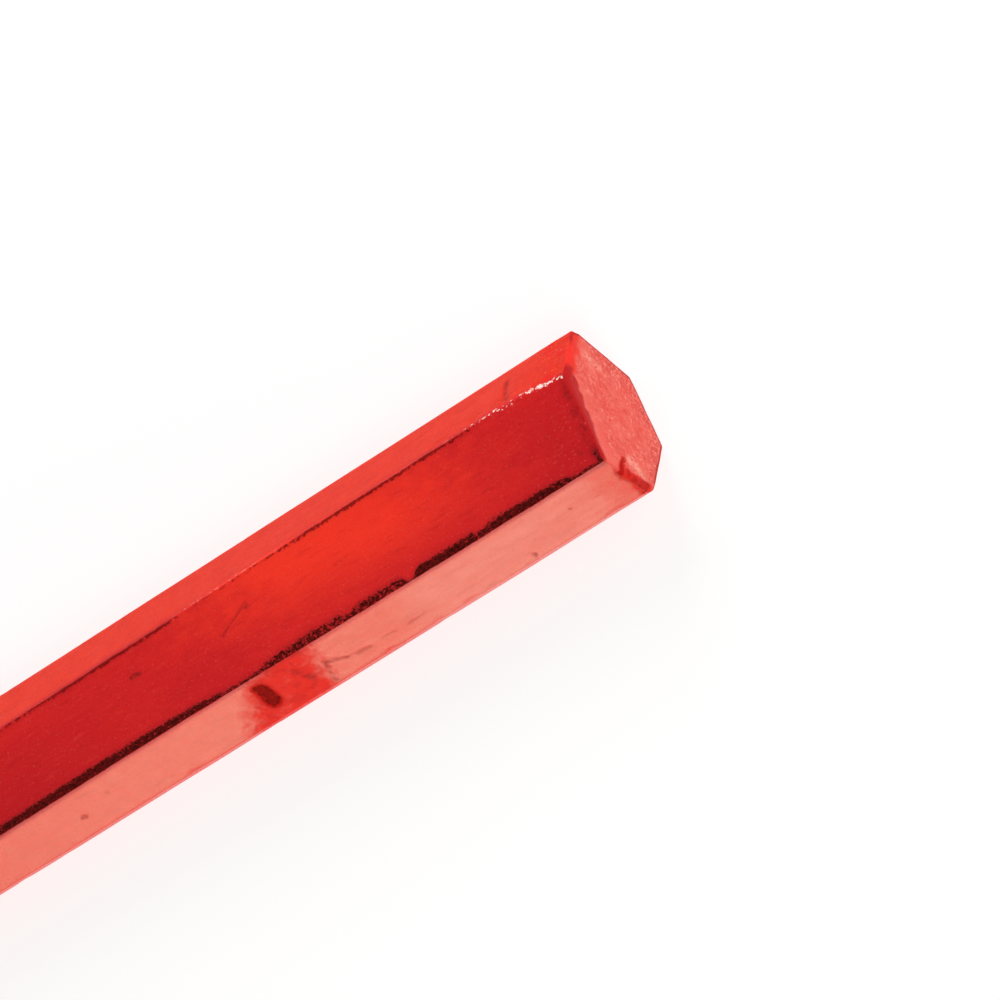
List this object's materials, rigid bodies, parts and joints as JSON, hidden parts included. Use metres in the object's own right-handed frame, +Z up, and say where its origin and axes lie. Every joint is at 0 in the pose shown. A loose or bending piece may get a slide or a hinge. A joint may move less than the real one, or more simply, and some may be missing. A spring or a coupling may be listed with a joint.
{
  "type": "carpenter pencil",
  "caption": "Flat wooden marking pencil with a rectangular graphite lead, knife-cut to a chisel point, for marking wood and masonry.",
  "frame": {"origin": "middle of the bounding box, on the plane of the wide face that the pencil lies on", "axes": "+X along the pencil from the point to the butt end, +Y across its width, +Z up through its thickness"},
  "size_m": [0.176, 0.013, 0.008],
  "materials": {
    "red_lacquer": "glossy red pencil lacquer, worn",
    "red_dip_coat": "thick red dipped coat over sawn end grain, satin",
    "cedar_upper": "bare knife-cut cedar",
    "cedar_lower": "bare knife-cut cedar",
    "graphite": "dark grey graphite and clay, faint metallic sheen",
    "glue": "thin dried wood glue"
  },
  "bodies": {
    "root": {"lacquer_coat_body": "red_lacquer", "dipped_coat_butt_end": "red_dip_coat", "wood_slat_upper": "cedar_upper", "wood_slat_lower": "cedar_lower", "graphite_lead": "graphite", "glue_film_left": "glue", "glue_film_right": "glue"}
  },
  "joints": []
}
